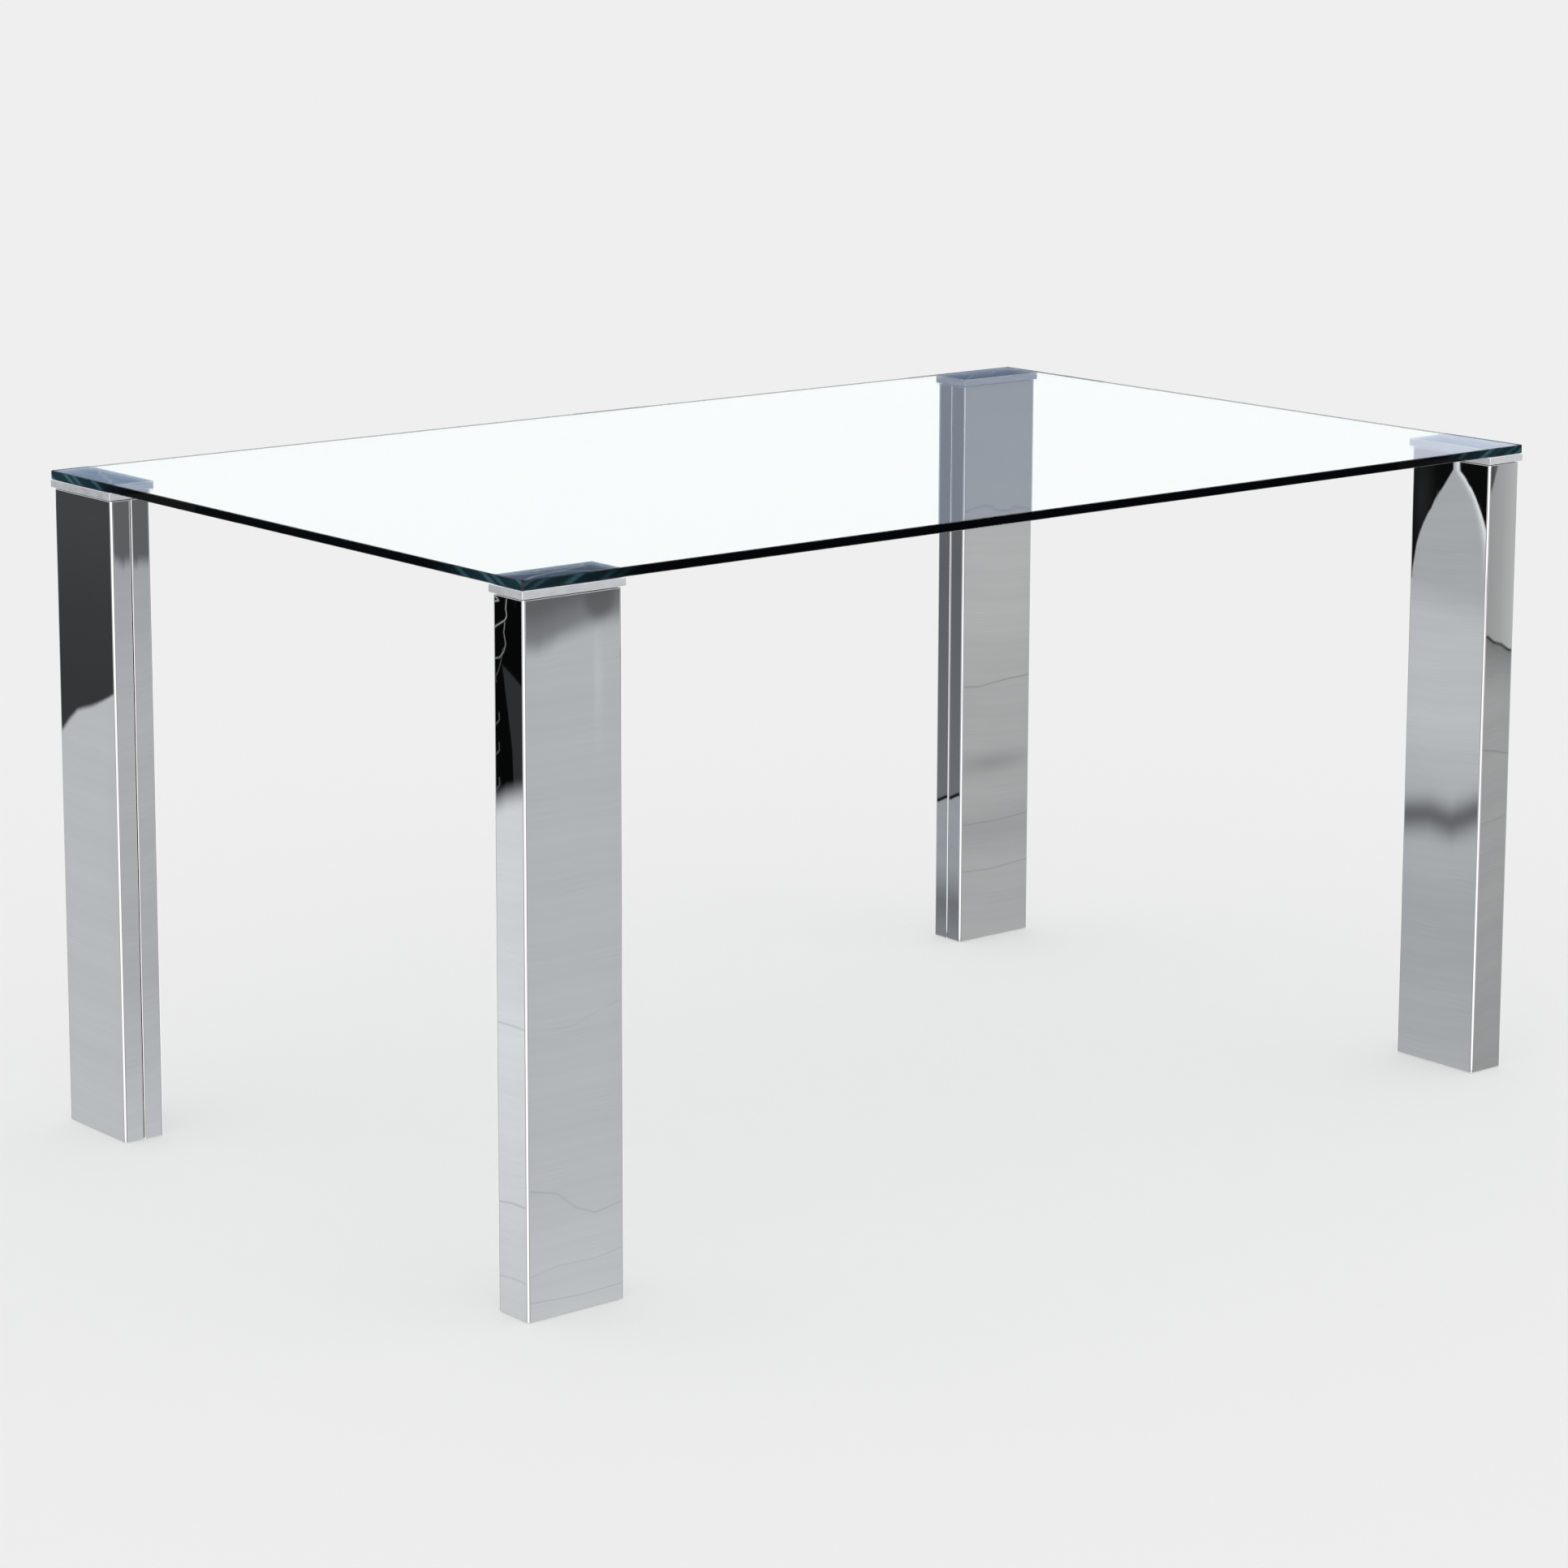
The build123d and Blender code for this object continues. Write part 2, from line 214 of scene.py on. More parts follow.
def card_glow(name, once_mirrored):
    """A card's material, in the colours of its points. once_mirrored hides it from rays not mirrored yet."""
    glow = Shader(name)
    colour = glow.node("Attribute", attribute_name="glow").outputs["Color"]
    lit = glow.node("Emission", {"Color": colour})
    if once_mirrored:
        seen = glow.maths("GREATER_THAN", glow.node("LightPath").outputs["Glossy Depth"], 0.5)
        clear = glow.node("BsdfTransparent")
        lit = glow.node("MixShader", {0: seen, 1: clear.outputs[0], 2: lit.outputs[0]})
    material = glow.surface(lit)
    material.cycles.emission_sampling = "NONE"
    return material


CARD_GLOW = card_glow("card_glow", False)
SHADE_GLOW = card_glow("shade_glow", True)


def add_card(name, rows, glows, material, *hidden, stride=1):
    """A card that only mirrored rays see: rows of points, with a glow at each.

    hidden names more kinds of rays that pass it by. A stride of 2 joins the rows in pairs, as loose strips.
    """
    across = len(rows[0])
    corners = [spot for row in rows for spot in row]
    faces = []
    for i in range(0, len(rows) - 1, stride):
        for j in range(i * across, (i + 1) * across - 1):
            faces.append((j, j + 1, j + 1 + across, j + across))
    mesh = bpy.data.meshes.new(name)
    mesh.from_pydata(corners, [], faces)
    layer = mesh.color_attributes.new("glow", "FLOAT_COLOR", "POINT")
    layer.data.foreach_set("color", [share for glow in glows for share in (*glow, 1)])
    mesh.materials.append(material)
    card = new_object(name, mesh)
    for kind in ("camera", "diffuse", "volume_scatter", "shadow", *hidden):
        setattr(card, "visible_" + kind, False)


# Painted reflections: the drawings below go on glowing cards that are seen only mirrored in the leg faces.
# What a leg face mirrors is drawn by height up the face in metres, z, and by the share of the way across it,
# t, from left to right as the camera sees it. A tone of 0.86 is plain floor paper, and a dark card is near 0.
# Each drawing starts with the tones up the face, as (height, tone) pairs.

def read(table, places):
    """Straight-line readings from a table of (place, reading) pairs."""
    known, readings = zip(*table)
    return np.interp(places, known, readings)


def step(value, edge, soft):
    """0 below an edge and 1 above it, with a smooth rise between."""
    share = np.clip((value - edge) / soft + 0.5, 0, 1)
    return share * share * (3 - 2 * share)


def blend(tone, other, share):
    return tone + (other - tone) * share


def blot(z, t, middle, reach):
    """1 at the middle of a soft spot, and about a third at its reach. Both are (across, height) pairs."""
    return np.exp(-((t - middle[0]) / reach[0]) ** 2 - ((z - middle[1]) / reach[1]) ** 2)


BROAD = 0.12
NARROW = 0.05
HAIRLINE = 0.6 * MM


def strand(z, t, spots, thin, width=BROAD):
    """1 along a thin line through (across, height) spots, falling to 0 beside it. width is the face's own."""
    nearest = np.ones(z.shape)
    for (t0, z0), (t1, z1) in zip(spots, spots[1:]):
        run_t, run_z = (t1 - t0) * width, z1 - z0
        off_t, off_z = (t - t0) * width, z - z0
        along = np.clip((off_t * run_t + off_z * run_z) / (run_t ** 2 + run_z ** 2), 0, 1)
        nearest = np.minimum(nearest, np.hypot(off_t - along * run_t, off_z - along * run_z))
    return np.exp(-((nearest / thin) ** 2))


# Each set of ripples: the length of its waves in metres, and their size.
RIPPLES = ((0.083, 0.8), (0.031, 0.6), (0.012, 0.5))
STREAK_LENGTH = 5.3 * MM
STREAK_DEPTH = 1.3


def rippled(tone, z, t, seed, depth):
    """The tone with faint drawn-out waves across it, and patches of finer streaks.

    The plain numbers only set how the waves bend and where the patches fall.
    """
    bend = 0.7 * np.sin(2.3 * t + seed) + 0.2 * np.sin(7.3 * t + 2 * seed)
    waves = 0.0
    for count, (length, size) in enumerate(RIPPLES):
        waves = waves + size * np.sin(2 * math.pi * z / length + bend * (1.2 + count) + seed * (3.7 + count))
    patches = np.sin(61 * z + 5 * t + seed) * np.sin(3.1 * t - 23 * z + 2 * seed)
    streaks = np.sin(2 * math.pi * z / STREAK_LENGTH + 3 * bend + 4 * np.sin(90 * z + seed))
    return tone * (1 + depth * (waves + STREAK_DEPTH * streaks * np.clip(patches, 0, 1)))


def mirrored_fl_x(z, t):
    """A bright lower part, and a dark top with fine bright curls and hooks and one lighter wedge."""
    shift = read(((0.0, -0.012), (0.4, 0.0), (1.0, 0.010)), t)
    tone = read(((0.0, 1.03), (0.30, 1.24), (0.36, 1.15)), z)
    tone = rippled(tone, z, t, 1.3, 0.012)
    for height, rise, dark in ((0.30, 0.001, 0.3), (0.115, 0.004, 0.35), (0.038, 0.003, 0.2)):
        line = ((0, height), (0.5, height + rise), (1, height + rise))
        tone = blend(tone, 0.3, dark * strand(z, t, line, MM, NARROW))
    wedge = step(t, read(((0.55, 0.64), (0.58, 0.61), (0.613, 0.49), (0.661, 0.31)), z), 0.05)
    wedge = wedge * step(-z, -read(((0.31, 0.661), (1.0, 0.643)), t), 0.004)
    dark = blend(0.004, 0.05, wedge)
    tone = blend(tone, dark, step(z, 0.530 + shift, 0.034))
    curls = (((0.10, 0.723), (0.22, 0.7245), (0.14, 0.7275), (0.03, 0.7285)),
             ((0.46, 0.728), (0.43, 0.718), (0.46, 0.711), (0.40, 0.7065), (0.22, 0.7015), (-0.05, 0.694)),
             ((0.40, 0.704), (0.36, 0.694), (0.42, 0.683), (0.36, 0.675), (0.22, 0.668), (-0.05, 0.665)),
             ((0.34, 0.678), (0.26, 0.664), (0.20, 0.656), (0.10, 0.648), (0.12, 0.643)))
    for curl, glint in zip(curls, (0.65, 0.55, 0.35, 0.12)):
        tone = blend(tone, 1.2, glint * strand(z, t, curl, HAIRLINE, NARROW))
    for height in (0.601, 0.571, 0.536):
        hook = ((0.20, height + 0.012), (0.21, height + 0.005), (0.12, height), (-0.05, height - 0.004))
        tone = blend(tone, 1.0, 0.2 * strand(z, t, hook, HAIRLINE, NARROW))
    return tone


def mirrored_fl_y(z, t):
    """An even grey with four faint lines low down, and a darker smoky top."""
    tone = read(((0.0, 0.98), (0.15, 0.87), (0.64, 0.82)), z)
    tone = rippled(tone, z, t, 0.4, 0.013)
    tone = tone * (1 + 0.10 * blot(z, t, (0.74, 0.64), (0.05, 0.05)))
    rise = read(((0.0, 0.682), (0.15, 0.680), (0.35, 0.689), (0.6, 0.696), (1.0, 0.701)), t)
    tone = blend(tone, 0.36, step(z, rise, 0.026))
    tone = blend(tone, 0.22, step(z, rise + 0.025, 0.034))
    tone = blend(tone, 0.17, 0.7 * step(blot(z, t, (0.77, 0.722), (0.19, 0.020)), 0.42, 0.6))
    lines = (((0, 0.137), (0.3, 0.128), (0.5, 0.108), (0.7, 0.099), (1, 0.104)),
             ((0, 0.047), (0.3, 0.053), (0.7, 0.051), (1, 0.056)),
             ((0, 0.021), (0.5, 0.017), (1, 0.018)),
             ((0, 0.300), (0.4, 0.296), (0.7, 0.305), (1, 0.314)))
    for line, dark in zip(lines, (0.38, 0.20, 0.34, 0.12)):
        tone = blend(tone, 0.4, dark * strand(z, t, line, HAIRLINE))
    return tone


# The pale bell in the dark top of one face: its height up the face and its own height, the place of its tip
# across the face, half the width of its neck, and the power that each side flares by.
BELL_FOOT = 0.583
BELL_HEIGHT = 0.136
BELL_TIP = 0.6
BELL_NECK = 0.04
LEFT_FLARE = 1.7
RIGHT_FLARE = 3.0


def mirrored_fr_x(z, t):
    """Two greys with a soft dark band between them, and a pale bell in a black top."""
    lift = read(((0.0, -0.004), (0.35, 0.004), (0.65, 0.0), (0.85, 0.012), (1.0, 0.022)), t)
    tone = read(((0.0, 0.74), (0.17, 0.67), (0.26, 0.75)), z)
    upper = read(((0.33, 0.78), (0.42, 0.92), (0.54, 0.90), (0.58, 0.71)), z)
    tone = blend(tone, upper, step(z, 0.30, 0.03))
    tone = rippled(tone, z, t, 2.2, 0.016)
    tone = blend(tone, 0.25, np.exp(-((z - 0.298 - lift) / 0.021) ** 2))
    climb = np.clip((z - BELL_FOOT) / BELL_HEIGHT, 0, 1)
    left = (BELL_TIP - BELL_NECK) * climb ** LEFT_FLARE
    right = 1 - (1 - BELL_TIP - BELL_NECK) * climb ** RIGHT_FLARE
    rim = np.exp(-((np.maximum(right - t, 0) / 0.045) ** 2)) * step(z, BELL_FOOT + 0.03, 0.08)
    tone = blend(tone, 1.5, 0.85 * rim)
    outside = step(left, t, 0.02) + step(t, right, 0.014)
    outside = outside * step(z, BELL_FOOT - 0.002, 0.004)
    # Painted dark reflection: near black round the bell, a little lighter in one soft spot.
    painted_dark_reflection = 0.006 + 0.022 * blot(z, t, (0.14, 0.68), (0.12, 0.06))
    return blend(tone, painted_dark_reflection, np.clip(outside, 0, 1))


def mirrored_fr_y(z, t):
    """An even grey up to a dark rift, with a lighter grey over it and a dark wedge at the top."""
    upper = read(((0.0, 0.55), (0.5, 0.64), (1.0, 0.85)), t)
    tone = read(((0.0, 0.55), (0.22, 0.61), (0.45, 0.61), (0.505, 0.46)), z)
    tone = rippled(tone, z, t, 3.1, 0.018)
    rift = ((-0.2, 0.528), (0.12, 0.527), (0.3, 0.520), (0.6, 0.515), (0.8, 0.508), (1.2, 0.503))
    crest = read(rift, t)
    tone = blend(tone, upper, step(z, crest, 0.002))
    shadow = np.exp(-np.maximum(crest - z, 0) / 0.014) * step(crest, z, 0.001)
    tone = tone * (1 - 0.45 * shadow * read(((0.0, 1.0), (1.0, 0.5)), t))
    tone = blend(tone, 0.02, strand(z, t, rift, 1.6 * MM, NARROW))
    lines = (((0, 0.392), (0.5, 0.389), (0.8, 0.384), (1, 0.384)),
             ((0, 0.302), (1, 0.309)))
    for line, dark in zip(lines, (0.4, 0.2)):
        tone = blend(tone, 0.2, dark * strand(z, t, line, MM, NARROW))
    wedge = step(read(((0.665, -0.4), (0.677, 0.0), (0.73, 0.30)), z), t, 0.03)
    return blend(tone, 0.09 + 0.35 * np.clip(t, 0, 0.3), wedge)


def mirrored_br_x(z, t):
    """A grey foot under a thin black bar, and darker grey over it."""
    tone = read(((0.0, 0.40), (0.05, 0.30), (0.10, 0.57)), z)
    tone = rippled(tone, z, t, 4.0, 0.02)
    bar = read(((0.15, 0.185), (0.85, 0.199)), t)
    tone = blend(tone, read(((0.2, 0.28), (0.5, 0.21), (0.75, 0.24)), z), step(z, bar, 0.002))
    return blend(tone, 0.015, np.exp(-(((z - bar) / 0.0026) ** 4)))


def mirrored_br_y(z, t):
    """An even grey with two darker bands low down and four thin lines."""
    tone = read(((0.0, 0.71), (0.34, 0.71), (0.44, 0.79)), z)
    tone = rippled(tone, z, t, 5.3, 0.016)
    tone = tone * (1 - 0.24 * blot(z, t, (0.45, 0.237), (0.6, 0.015)))
    tone = tone * (1 - 0.13 * blot(z, t, (0.5, 0.15), (1.5, 0.03)))
    lines = (((0, 0.570), (0.09, 0.572), (0.29, 0.574), (0.42, 0.571), (0.52, 0.564), (0.70, 0.561),
              (0.75, 0.566), (0.95, 0.562), (1.2, 0.562)),
             ((-0.1, 0.345), (0.2, 0.341), (0.5, 0.343), (1.1, 0.347)),
             ((-0.1, 0.158), (0.5, 0.157), (1.1, 0.160)),
             ((-0.1, 0.096), (0.4, 0.092), (1.1, 0.097)))
    for line, dark in zip(lines, (0.75, 0.4, 0.25, 0.25)):
        tone = blend(tone, 0.2, dark * strand(z, t, line, MM))
    return tone


def mirrored_bl_x(z, t):
    """A pale lower part under a sloping crest, and a dark top."""
    tone = read(((0.0, 0.90), (0.10, 0.88), (0.45, 0.87)), z)
    tone = rippled(tone, z, t, 6.1, 0.012)
    crest = read(((-0.2, 0.42), (0.0, 0.451), (0.15, 0.468), (0.3, 0.4815), (0.6, 0.494), (1.0, 0.515)), t)
    dark = read(((0.5, 0.065), (0.60, 0.075), (0.70, 0.095)), z)
    return blend(tone, dark, step(z, crest, 0.010 - 0.005 * np.clip(t, 0, 1)))


def mirrored_bl_y(z, t):
    """A pale foot that darkens upward, and a dark top."""
    tone = read(((0.0, 0.92), (0.20, 0.74), (0.50, 0.78), (0.66, 0.65)), z)
    tone = rippled(tone, z, t, 7.7, 0.015)
    crest = read(((0.0, 0.668), (0.45, 0.656), (0.5, 0.660), (1.0, 0.658)), t)
    return blend(tone, 0.21, step(z, crest, 0.020))


WARM = (1.03, 1.0, 0.97)
COOL = (0.96, 0.99, 1.05)
PLAIN = (1, 1, 1)

# For each face: its picture and its tint. Every card rises a step more steeply from the floor than the one
# before it, in an order that keeps them out of each other's view.
MIRRORED = {
    ("fr", "Y"): (mirrored_fr_y, WARM), ("bl", "X"): (mirrored_bl_x, PLAIN),
    ("br", "X"): (mirrored_br_x, COOL), ("fl", "Y"): (mirrored_fl_y, PLAIN),
    ("fl", "X"): (mirrored_fl_x, PLAIN), ("br", "Y"): (mirrored_br_y, WARM),
    ("bl", "Y"): (mirrored_bl_y, PLAIN), ("fr", "X"): (mirrored_fr_x, PLAIN),
}
SLOPE_STEP = 0.1
CARD_LEVEL = 0.3 * MM
LANE_LOW = 1.5 * MM
LANE_HIGH = 0.735
LANE_ROWS = 900
LANE_COLUMNS = 51
FINE_LANE_COLUMNS = 171
LANE_MARGIN = 9 * MM
SEAM_FACES = (("br", "X"), ("bl", "Y"))
SEAM_LEAN = 0.009


def landing(place, tilt, axis, level):
    """Where the camera's view of a place on a face lands at a level after mirroring.

    tilt is how far the face's normal leans aside there, and axis is the one it looks along, the negative way.
    """
    way = place - np.array(CAMERA_PLACE)
    normal = np.zeros(place.shape)
    normal[..., axis] = -1
    normal[..., 1 - axis] = -tilt
    normal /= np.linalg.norm(normal, axis=-1, keepdims=True)
    way = way - 2 * np.sum(way * normal, axis=-1, keepdims=True) * normal
    return place + way * ((level - place[..., 2:]) / way[..., 2:])


def add_mirror_lanes():
    """Glowing cards with painted reflections, rising from the floor where the camera sees it mirrored in each
    leg face.
    """
    for number, ((side, towards), (picture, tint)) in enumerate(MIRRORED.items()):
        low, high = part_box("leg_shell_" + side)
        axis = "XY".index(towards)
        width = high[1 - axis] - low[1 - axis]
        margin = LANE_MARGIN / width
        heights = np.linspace(LANE_LOW, LANE_HIGH, LANE_ROWS)
        columns = FINE_LANE_COLUMNS if towards == "X" and side in ("fl", "fr") else LANE_COLUMNS
        z, t = np.meshgrid(heights, np.linspace(-margin, 1 + margin, columns), indexing="ij")
        onward = t if axis else 1 - t
        place = np.zeros((*z.shape, 3))
        place[..., axis] = low[axis]
        place[..., 1 - axis] = low[1 - axis] + width * onward
        place[..., 2] = z
        if (side, towards) in SEAM_FACES:
            tilt = (0.5 - onward) * 2 * SEAM_LEAN
        else:
            tilt = crown_tilt(width * onward, width)
        level = CARD_LEVEL + SLOPE_STEP * number * (z[..., None] - LANE_LOW)
        spots = landing(place, tilt, axis, level).tolist()
        tones = (picture(z, t)[..., None] * np.array(tint)).reshape(-1, 3).tolist()
        add_card(f"lane_{side}_{towards}", spots, tones, CARD_GLOW, "transmission")


# Painted reflections: the tones of the cards that the glass edges mirror, and of the dim lines over the back
# edges.
EDGE_TONE = (0.03, 0.045, 0.06)
EDGE_BLUE = (0.12, 0.36, 0.48)
EDGE_TEAL = (0.8, 1.8, 2.2)
EDGE_SLACK = 2 * MM
EDGE_OVERHANG = 20 * MM
TEAL_WAVES = ((210, 700, 0.0), (91, -1300, 1.0))
TEAL_FLOOR = 0.1
EDGE_COLUMNS = 240
EDGE_ROWS = 6
CORNER_REACH = 0.11
BACK_LINE = 8.7 * MM
BACK_LINE_TONE = (0.10, 0.10, 0.11)
NEAR_LID_RISE = 0.3 * MM
FAR_LID_RISE = 0.6 * MM


def add_edge_cards():
    """Painted reflections: narrow dark glowing cards on the floor, where the polished edges of the glass
    mirror them.

    They are blue and teal near the corners. A dim card over each back edge is mirrored by the glass as a thin
    dark line.
    """
    low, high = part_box("glass_top")
    heights = np.linspace(low.z - EDGE_SLACK, high.z + EDGE_SLACK, EDGE_ROWS)
    for axis in (0, 1):
        start, end = low[1 - axis], high[1 - axis]
        columns = np.linspace(start - EDGE_OVERHANG, end + EDGE_OVERHANG, EDGE_COLUMNS)
        z, along = np.meshgrid(heights, columns, indexing="ij")
        place = np.zeros((*z.shape, 3))
        place[..., axis] = low[axis]
        place[..., 1 - axis] = along
        place[..., 2] = z
        spots = landing(place, 0 * z, axis, CARD_LEVEL / 2).tolist()
        nearest = np.minimum(np.abs(along - start), np.abs(end - along))
        corner = np.exp(-(nearest / CORNER_REACH) ** 4)[..., None]
        patches = 1.0
        for sideways, upward, shift in TEAL_WAVES:
            patches = patches * np.sin(along * sideways + z * upward + shift)
        teal = np.clip(patches - TEAL_FLOOR, 0, 1)[..., None]
        tones = np.array(EDGE_TONE) + corner * (np.array(EDGE_BLUE) + teal * np.array(EDGE_TEAL))
        add_card("edge_card_" + "XY"[axis], spots, tones.reshape(-1, 3).tolist(), CARD_GLOW, "transmission")
    level = high.z + NEAR_LID_RISE
    lines = {"back_line_X": (high.x - BACK_LINE, low.y), "back_line_Y": (low.x, high.y - BACK_LINE)}
    for name, (x, y) in lines.items():
        rows = [[(x, y, level), (high.x, y, level)], [(x, high.y, level), (high.x, high.y, level)]]
        add_card(name, rows, [BACK_LINE_TONE] * 4, CARD_GLOW, "transmission")


# Painted reflections: the dim blue glow of the cards that the glass mirrors above each plate, and then above
# the leg under it.
PLATE_PAINTED_REFLECTION = {
    "fl": (0.10, 0.13, 0.20), "fr": (0.72, 0.77, 0.92),
    "br": (0.17, 0.21, 0.31), "bl": (0.29, 0.36, 0.49),
}
LEG_PAINTED_REFLECTION = {
    "fl": (0.27, 0.32, 0.44), "fr": (0.80, 0.84, 0.98),
    "br": (0.26, 0.29, 0.36), "bl": (0.38, 0.44, 0.56),
}
GLASS_LIFT = 8.5 * MM
GLASS_SHIFT = 8.7 * MM
FIN_STEP = 1.0 * MM
FIN_HEIGHT = 0.25 * MM


def add_leg_shades():
    """Dim cards over the legs, which keep the white studio out of the glass where a leg stands behind it.

    Two lids stand just over the glass for each plate: a near one where the glass mirrors the studio in front
    of the plate, and a far one where light from the plate leaves the glass. Each is a blind of upright fins
    along X, which stops the camera's slanting view and lets steep ones through. GLASS_SHIFT is how far that
    view moves sideways inside the glass. The plate and the leg have a shade each as well, their own mirror
    image above the glass, moved down by GLASS_LIFT, how far the glass seems to raise what is under it.
    """
    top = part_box("glass_top")[1].z
    for side in SIDES:
        low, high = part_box("top_plate_" + side)
        glow = PLATE_PAINTED_REFLECTION[side]
        onward = ((low + high) / 2 - CAMERA_PLACE).to_2d().normalized() * GLASS_SHIFT
        near = lid_rows(low, high, -onward, top + NEAR_LID_RISE)
        far = lid_rows(low, high, onward, top + FAR_LID_RISE)
        add_card("near_lid_" + side, near, [glow] * (2 * len(near)), CARD_GLOW, "transmission", stride=2)
        add_card("far_lid_" + side, far, [glow] * (2 * len(far)), SHADE_GLOW, "glossy", stride=2)
        add_shade("plate_shade_" + side, low, high, top, glow)
        leg_low, leg_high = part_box("leg_shell_" + side)
        leg_high.z = low.z
        add_shade("leg_shade_" + side, leg_low, leg_high, top, LEG_PAINTED_REFLECTION[side])


def lid_rows(low, high, shift, foot):
    """The lower and upper edges, in turn, of upright fins along X over a plate that is moved by a shift."""
    rows = []
    for y in np.arange(low.y, high.y, FIN_STEP) + shift.y:
        for z in (foot, foot + FIN_HEIGHT):
            rows.append([(low.x + shift.x, float(y), z), (high.x + shift.x, float(y), z)])
    return rows


def add_shade(name, low, high, top, glow):
    """The sides of a box, mirrored above the glass and moved down by GLASS_LIFT."""
    rim = [(low.x, low.y), (high.x, low.y), (high.x, high.y), (low.x, high.y), (low.x, low.y)]
    rows = [[(*spot, 2 * top - level - GLASS_LIFT) for spot in rim] for level in (high.z, low.z)]
    add_card(name, rows, [glow] * (2 * len(rim)), SHADE_GLOW)


# ---------------------------------------------------------------- materials

STEEL = (0.52, 0.545, 0.565)
SATIN = (0.64, 0.65, 0.67)


def flatness(shader):
    """1 on faces square to the axes, falling to 0.7 halfway round a bend or on a chamfer."""
    normal = shader.node("NewGeometry").outputs["Normal"]
    size = shader.node("VectorMath", {0: normal}, operation="ABSOLUTE").outputs["Vector"]
    parts = shader.node("SeparateXYZ", {0: size}).outputs
    return shader.maths("MAXIMUM", shader.maths("MAXIMUM", parts[0], parts[1]), parts[2])


def painted_bend_highlights(shader, face_colour):
    """Face colour with a painted highlight along each bend, a near-white line between two painted darker
    ones.
    """
    dark = [share * 0.3 for share in face_colour]
    # Painted highlight and shade: near white where the normal turns round a bend, darker just beside it.
    stops = ((0.0, grey(0.99)), (0.940, grey(0.99)), (0.962, dark), (0.992, dark), (0.9992, face_colour))
    return shader.ramp(flatness(shader), stops)


def polished_steel():
    """Mirror-finish stainless sheet: cloudy polish, hairlines up the leg, and painted highlights along the
    bends.
    """
    steel = Shader("polished_steel")
    clouds = steel.noise(14, detail=2)
    smears = steel.noise(60, detail=5, distortion=0.6)
    hairlines = steel.noise(900, detail=2, stretch=(1, 1, 0.03))
    toned = steel.node("Mix", {0: steel.remap(clouds, 0.3, 0.7, 0.0, 0.05), 6: painted_bend_highlights(steel, STEEL),
                               7: (0.40, 0.42, 0.44, 1)}, data_type="RGBA").outputs[2]
    scratched = steel.remap(hairlines, 0.66, 0.8, 0.0, 0.05)
    rough = steel.maths("ADD", steel.remap(smears, 0.35, 0.75, 0.003, 0.022), scratched)
    shine = steel.node("BsdfPrincipled", {
        "Base Color": toned, "Metallic": 1.0, "Roughness": rough,
        "Normal": steel.bump(hairlines, 0.002 * MM, 0.3)})
    return steel.surface(shine)


def satin_steel():
    """Brushed plate: fine level grain along its edges, duller spots, and painted highlights along its
    chamfers.
    """
    steel = Shader("satin_steel")
    grain = steel.noise(60, detail=6, stretch=(1, 1, 40))
    spots = steel.noise(45, detail=4)
    grain_and_painted_highlights = steel.node("Mix", {0: steel.remap(grain, 0.35, 0.65, 0.0, 0.25), 6: painted_bend_highlights(steel, SATIN),
                              7: (0.50, 0.51, 0.53, 1)}, data_type="RGBA").outputs[2]
    marked = steel.remap(spots, 0.4, 0.7, 0.0, 0.06)
    rough = steel.maths("ADD", steel.remap(grain, 0.3, 0.7, 0.10, 0.22), marked)
    shine = steel.node("BsdfPrincipled", {
        "Base Color": grain_and_painted_highlights, "Metallic": 1.0, "Roughness": rough, "Normal": steel.bump(grain, 0.01 * MM, 0.5)})
    return steel.surface(shine)


def zinc_steel():
    """Zinc-plated fasteners and inner plates: spangle and dull passivation."""
    steel = Shader("zinc_steel")
    spangle = steel.node("TexVoronoi", {"Vector": steel.place(), "Scale": 320.0}).outputs["Color"]
    tone = steel.node("SeparateXYZ", {0: spangle}).outputs[0]
    dull = steel.noise(150, detail=5)
    colour = steel.ramp(tone, ((0.0, (0.47, 0.48, 0.49)), (1.0, (0.66, 0.67, 0.66))))
    shine = steel.node("BsdfPrincipled", {
        "Base Color": colour, "Metallic": 1.0, "Roughness": steel.remap(dull, 0.3, 0.7, 0.28, 0.5),
        "Normal": steel.bump(dull, 0.02 * MM)})
    return steel.surface(shine)


def core_board():
    """Layered board: thin light and dark plies, with fibres along them."""
    board = Shader("core_board")
    plies = board.node("TexWave", {"Vector": board.place(), "Scale": 90.0, "Distortion": 1.5, "Detail": 3.0},
                       bands_direction="Y").outputs["Fac"]
    fibres = board.noise(500, detail=5, stretch=(1, 1, 0.1))
    tone = board.maths("ADD", board.remap(plies, 0, 1, 0.0, 0.6), board.remap(fibres, 0.3, 0.7, 0.0, 0.4))
    colour = board.ramp(tone, ((0.0, (0.22, 0.13, 0.07)), (1.0, (0.55, 0.39, 0.24))))
    matt = board.node("BsdfPrincipled", {
        "Base Color": colour, "Roughness": board.remap(fibres, 0.3, 0.7, 0.6, 0.85),
        "Normal": board.bump(fibres, 0.15 * MM)})
    return board.surface(matt)


def moulded(name, dark, light, low, high, waves, depth):
    """Moulded black plastic or rubber: a fine texture, with a little scuffing."""
    skin = Shader(name)
    texture = skin.noise(waves, detail=4)
    scuffs = skin.noise(120, detail=5, distortion=1.0)
    colour = skin.ramp(skin.remap(scuffs, 0.4, 0.75, 0.0, 1.0), ((0.0, dark), (1.0, light)))
    matt = skin.node("BsdfPrincipled", {
        "Base Color": colour, "Roughness": skin.remap(texture, 0.3, 0.7, low, high),
        "Normal": skin.bump(texture, depth)})
    return skin.surface(matt)


